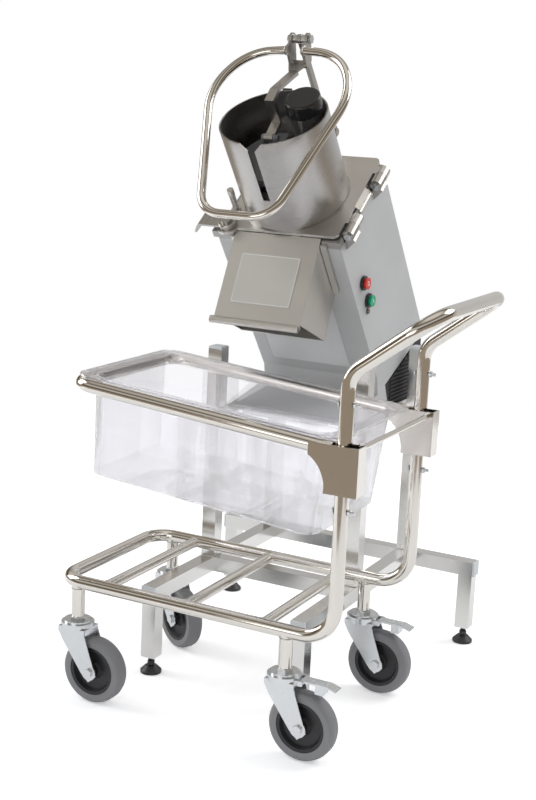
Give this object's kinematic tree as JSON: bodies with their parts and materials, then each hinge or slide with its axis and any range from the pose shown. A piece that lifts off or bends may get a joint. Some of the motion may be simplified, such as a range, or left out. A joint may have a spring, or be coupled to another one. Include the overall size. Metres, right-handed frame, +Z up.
{
  "type": "vegetable cutting machine",
  "caption": "Leaning vegetable cutter with a slotted feed cylinder and lever pusher on a square tube stand, with a tube trolley holding a clear container under its outlet.",
  "frame": {"origin": "on the floor, at the middle of the footprint of stand and docked trolley", "axes": "+Z up, +Y from the trolley to the rear of the machine, +X to the trolley's push handle"},
  "size_m": [0.7404, 0.8049, 1.2408],
  "materials": {
    "bright_tube": "polished",
    "stand_steel": "satin",
    "sheet_steel": "brushed",
    "grey_paint": "satin",
    "black_plastic": "matte",
    "grey_cap": "matte",
    "cast_aluminium": "satin",
    "clear_plastic": "clear",
    "zinc": "bright",
    "tyre_grey": "matte",
    "hub_black": "matte",
    "rubber_black": "matte",
    "stop_red": "gloss",
    "start_green": "gloss",
    "lamp_clear": "gloss",
    "pusher_plastic": "satin",
    "blade_steel": "ground"
  },
  "bodies": {
    "machine": {"stand_frame": "stand_steel", "stand_legs": "stand_steel", "levelling_feet": "black_plastic", "tube_caps": "grey_cap", "column_shell": "grey_paint", "front_panel": "grey_paint", "base_tray": "stand_steel", "rear_cover": "black_plastic", "cable_gland": "black_plastic", "cutting_chamber": "cast_aluminium", "outlet_chute": "sheet_steel", "chute_front_plate": "sheet_steel", "hinge_brackets": "sheet_steel", "hinge_pins": "zinc", "button_bezels": "black_plastic", "pilot_lamp": "lamp_clear", "control_box": "grey_cap", "drive_motor": "cast_aluminium", "bearing_housing": "cast_aluminium", "shaft_bearings": "zinc", "drive_belt": "rubber_black"},
    "feeder": {"feeder_flange": "sheet_steel", "feed_cylinder": "sheet_steel", "feed_tube": "sheet_steel", "lever_bracket": "sheet_steel", "rubber_stop": "rubber_black"},
    "latch": {"latch_arm": "sheet_steel"},
    "lever": {"lever_bar": "sheet_steel", "yoke_bolt": "zinc"},
    "handle": {"handle_yoke": "sheet_steel", "handle_loop": "bright_tube"},
    "pusher": {"pusher_plate": "pusher_plastic"},
    "small_pusher": {"tube_pusher": "black_plastic"},
    "stop": {"stop_button": "stop_red"},
    "start": {"start_button": "start_green"},
    "spindle": {"drive_shaft": "zinc", "drive_pulley": "cast_aluminium", "cutting_disc": "blade_steel", "ejector_plate": "cast_aluminium"},
    "motor_rotor": {"motor_pulley": "cast_aluminium"},
    "trolley": {"trolley_base": "bright_tube", "caster_races": "zinc"},
    "trolley_top": {"trolley_handle": "bright_tube", "lock_pins": "zinc", "container_holder": "bright_tube"},
    "container": {"food_container": "clear_plastic"},
    "swivel_front_left": {"caster_fork_front_left": "zinc"},
    "wheel_front_left": {"wheel_hub_front_left": "hub_black", "wheel_tyre_front_left": "tyre_grey"},
    "swivel_front_right": {"caster_fork_front_right": "zinc"},
    "wheel_front_right": {"wheel_hub_front_right": "hub_black", "wheel_tyre_front_right": "tyre_grey"},
    "brake_front_right": {"brake_pedal_front_right": "zinc"},
    "swivel_back_right": {"caster_fork_back_right": "zinc"},
    "wheel_back_right": {"wheel_hub_back_right": "hub_black", "wheel_tyre_back_right": "tyre_grey"},
    "brake_back_right": {"brake_pedal_back_right": "zinc"},
    "swivel_back_left": {"caster_fork_back_left": "zinc"},
    "wheel_back_left": {"wheel_hub_back_left": "hub_black", "wheel_tyre_back_left": "tyre_grey"}
  },
  "joints": [
    {"name": "feeder_hinge", "type": "hinge", "parent": "machine", "child": "feeder", "pos_m": [0.05075, 0.02613, 0.92897], "axis": [0, 0.7934, 0.6088], "range_deg": [0, 100]},
    {"name": "latch_turn", "type": "hinge", "parent": "feeder", "child": "latch", "pos_m": [-0.19825, -0.05228, 0.87838], "axis": [0, -0.6088, 0.7934], "range_deg": [0, 80]},
    {"name": "handle_pivot", "type": "hinge", "parent": "lever", "child": "handle", "pos_m": [-0.08925, 0.00168, 1.22924], "axis": [1, 0, 0], "range_deg": [-34, 12.5]},
    {"name": "lever_pivot", "type": "hinge", "parent": "feeder", "child": "lever", "pos_m": [-0.08925, 0.14274, 1.05954], "axis": [1, 0, 0], "range_deg": [-34, 12.5]},
    {"name": "plate_pivot", "type": "hinge", "parent": "handle", "child": "pusher", "pos_m": [-0.08925, -0.10555, 1.04801], "axis": [1, 0, 0], "range_deg": [-25, 68]},
    {"name": "small_pusher_slide", "type": "slide", "parent": "feeder", "child": "small_pusher", "axis": [0, -0.6088, 0.7934], "range_m": [0, 0.14]},
    {"name": "stop_press", "type": "slide", "parent": "machine", "child": "stop", "axis": [-1, 0, 0], "range_m": [0, 0.0035], "stiffness_N_per_m": 600, "springref_m": -0.002},
    {"name": "start_press", "type": "slide", "parent": "machine", "child": "start", "axis": [-1, 0, 0], "range_m": [0, 0.0035], "stiffness_N_per_m": 600, "springref_m": -0.002},
    {"name": "spindle_spin", "type": "hinge", "parent": "machine", "child": "spindle", "pos_m": [-0.08925, 0.09455, 0.8398], "axis": [0, -0.6088, 0.7934], "continuous": true},
    {"name": "motor_spin", "type": "hinge", "parent": "machine", "child": "motor_rotor", "pos_m": [-0.08925, 0.21557, 0.78392], "axis": [0, -0.6088, 0.7934], "continuous": true},
    {"name": "trolley_roll", "type": "slide", "parent": "machine", "child": "trolley", "axis": [0, -1, 0], "range_m": [-0.03, 0.045]},
    {"name": "top_height", "type": "slide", "parent": "trolley", "child": "trolley_top", "axis": [0, 0, 1], "range_m": [0, 0.02]},
    {"name": "container_lift", "type": "slide", "parent": "trolley_top", "child": "container", "axis": [0, 0, 1], "range_m": [0, 0.03]},
    {"name": "swivel_turn_front_left", "type": "hinge", "parent": "trolley", "child": "swivel_front_left", "pos_m": [-0.30925, -0.3715, 0.142], "axis": [0, 0, 1], "continuous": true},
    {"name": "wheel_roll_front_left", "type": "hinge", "parent": "swivel_front_left", "child": "wheel_front_left", "pos_m": [-0.26825, -0.3715, 0.0625], "axis": [0, 1, 0], "continuous": true},
    {"name": "swivel_turn_front_right", "type": "hinge", "parent": "trolley", "child": "swivel_front_right", "pos_m": [0.12475, -0.3715, 0.142], "axis": [0, 0, 1], "continuous": true},
    {"name": "wheel_roll_front_right", "type": "hinge", "parent": "swivel_front_right", "child": "wheel_front_right", "pos_m": [0.16575, -0.3715, 0.0625], "axis": [0, 1, 0], "continuous": true},
    {"name": "brake_press_front_right", "type": "hinge", "parent": "swivel_front_right", "child": "brake_front_right", "pos_m": [0.16125, -0.3715, 0.143], "axis": [0, 1, 0], "range_deg": [0, 11], "stiffness_Nm_per_rad": 0.8, "springref_deg": -8.59},
    {"name": "swivel_turn_back_right", "type": "hinge", "parent": "trolley", "child": "swivel_back_right", "pos_m": [0.12475, -0.0365, 0.142], "axis": [0, 0, 1], "continuous": true},
    {"name": "wheel_roll_back_right", "type": "hinge", "parent": "swivel_back_right", "child": "wheel_back_right", "pos_m": [0.16575, -0.0365, 0.0625], "axis": [0, 1, 0], "continuous": true},
    {"name": "brake_press_back_right", "type": "hinge", "parent": "swivel_back_right", "child": "brake_back_right", "pos_m": [0.16125, -0.0365, 0.143], "axis": [0, 1, 0], "range_deg": [0, 11], "stiffness_Nm_per_rad": 0.8, "springref_deg": -8.59},
    {"name": "swivel_turn_back_left", "type": "hinge", "parent": "trolley", "child": "swivel_back_left", "pos_m": [-0.30925, -0.0365, 0.142], "axis": [0, 0, 1], "continuous": true},
    {"name": "wheel_roll_back_left", "type": "hinge", "parent": "swivel_back_left", "child": "wheel_back_left", "pos_m": [-0.27272, -0.05511, 0.0625], "axis": [0.454, 0.891, 0], "continuous": true}
  ],
  "couplings": [
    {"joint": "lever_pivot", "follows": "handle_pivot", "ratio": 1},
    {"joint": "plate_pivot", "follows": "handle_pivot", "ratio": -2},
    {"joint": "motor_spin", "follows": "spindle_spin", "ratio": 2.4}
  ]
}
